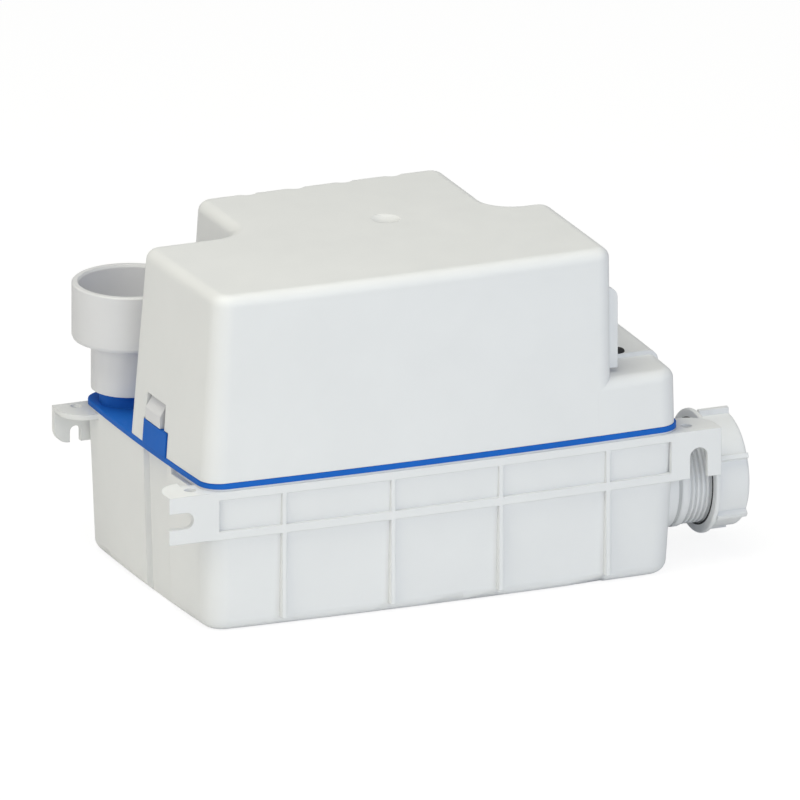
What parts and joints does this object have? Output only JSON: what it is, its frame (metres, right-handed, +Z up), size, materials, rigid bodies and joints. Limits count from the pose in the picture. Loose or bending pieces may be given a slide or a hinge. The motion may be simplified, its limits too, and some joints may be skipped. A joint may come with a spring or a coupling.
{
  "type": "condensate pump",
  "caption": "Condensate pump: ribbed tank with ears, cover plate with motor, floats and valve under a stepped lift-off hood, inlet sleeve, side compression nut.",
  "frame": {"origin": "centre of the tank's flat underside", "axes": "+X along the long front, towards the side connection; +Y to the back; +Z up"},
  "size_m": [0.284, 0.1573, 0.1567],
  "materials": {
    "grey_plastic": "satin moulded plastic with a fine spark texture",
    "warm_grey_plastic": "satin moulded plastic",
    "blue_plastic": "satin moulded plastic",
    "seal_rubber": "matt rubber",
    "pump_plastic": "glass-filled plastic",
    "float_plastic": "smooth plastic",
    "steel": "turned steel",
    "lamination": "stacked sheet edges",
    "copper_wire": "enamelled copper wire",
    "bracket_metal": "die casting",
    "switch_plastic": "moulded plastic",
    "terminal_plastic": "moulded plastic",
    "bobbin_plastic": "natural nylon"
  },
  "bodies": {
    "tank_body": {"tank": "grey_plastic", "side_spigot": "grey_plastic", "spigot_seal": "seal_rubber", "rim_gasket": "seal_rubber", "cover_plate": "blue_plastic", "pump_volute": "pump_plastic", "suction_cover": "pump_plastic", "discharge_pipe": "float_plastic", "shaft_seal": "seal_rubber", "stator_core": "lamination", "coil_bobbin": "bobbin_plastic", "coil_winding": "copper_wire", "lower_bracket": "bracket_metal", "upper_bracket": "bracket_metal", "lower_bearing": "steel", "upper_bearing": "steel", "motor_screws": "steel", "lever_pin": "steel", "switch_bracket": "switch_plastic", "microswitch": "switch_plastic", "alarm_switch": "switch_plastic", "alarm_bracket": "switch_plastic", "terminal_block": "terminal_plastic", "valve_body": "pump_plastic", "hose_barb": "pump_plastic"},
    "hood_body": {"hood": "grey_plastic", "cable_gland": "seal_rubber"},
    "rotor": {"rotor_shaft": "steel", "rotor_core": "lamination", "impeller": "pump_plastic", "cooling_fan": "pump_plastic"},
    "main_float_body": {"main_float": "float_plastic"},
    "alarm_float_body": {"alarm_float": "float_plastic"},
    "lever": {"switch_lever": "switch_plastic"},
    "ball": {"valve_ball": "seal_rubber"},
    "slip_ring": {"slip_washer": "pump_plastic", "cone_seal": "seal_rubber"},
    "nut": {"compression_nut": "grey_plastic"},
    "sleeve": {"inlet_sleeve": "warm_grey_plastic", "sleeve_ring": "seal_rubber"},
    "left_latch_body": {"left_latch": "warm_grey_plastic"},
    "right_latch_body": {"right_latch": "warm_grey_plastic"}
  },
  "joints": [
    {"name": "hood_lift", "type": "slide", "parent": "tank_body", "child": "hood_body", "axis": [0, 0, 1], "range_m": [0, 0.08]},
    {"name": "rotor_spin", "type": "hinge", "parent": "tank_body", "child": "rotor", "pos_m": [-0.008, -0.034, 0.1], "axis": [0, 0, 1], "continuous": true},
    {"name": "main_float_rise", "type": "slide", "parent": "tank_body", "child": "main_float_body", "axis": [0, 0, 1], "range_m": [0, 0.012]},
    {"name": "lever_tilt", "type": "hinge", "parent": "tank_body", "child": "lever", "pos_m": [-0.09, -0.048, 0.0846], "axis": [0, -1, 0], "range_deg": [0, 22.05]},
    {"name": "alarm_float_rise", "type": "slide", "parent": "tank_body", "child": "alarm_float_body", "axis": [0, 0, 1], "range_m": [0, 0.008]},
    {"name": "ball_lift", "type": "slide", "parent": "tank_body", "child": "ball", "axis": [0, 0, 1], "range_m": [0, 0.006]},
    {"name": "slip_ring_slide", "type": "slide", "parent": "tank_body", "child": "slip_ring", "axis": [1, 0, 0], "range_m": [0, 0.0094]},
    {"name": "nut_turn", "type": "hinge", "parent": "slip_ring", "child": "nut", "pos_m": [0.1423, -0.038, 0.0363], "axis": [1, 0, 0], "range_deg": [0, 1440]},
    {"name": "sleeve_pull", "type": "slide", "parent": "tank_body", "child": "sleeve", "axis": [0, 0, 1], "range_m": [0, 0.03]},
    {"name": "left_latch_flex", "type": "hinge", "parent": "tank_body", "child": "left_latch_body", "pos_m": [-0.1091, -0.0124, 0.06305], "axis": [0, 1, 0], "range_deg": [0, 8.5], "stiffness_Nm_per_rad": 0.5},
    {"name": "right_latch_flex", "type": "hinge", "parent": "tank_body", "child": "right_latch_body", "pos_m": [0.1091, 0.0124, 0.06305], "axis": [0, -1, 0], "range_deg": [0, 8.5], "stiffness_Nm_per_rad": 0.5}
  ],
  "couplings": [
    {"joint": "lever_tilt", "follows": "main_float_rise", "rad_per_m": 31.998},
    {"joint": "slip_ring_slide", "follows": "nut_turn", "m_per_rad": 0.0003675}
  ]
}
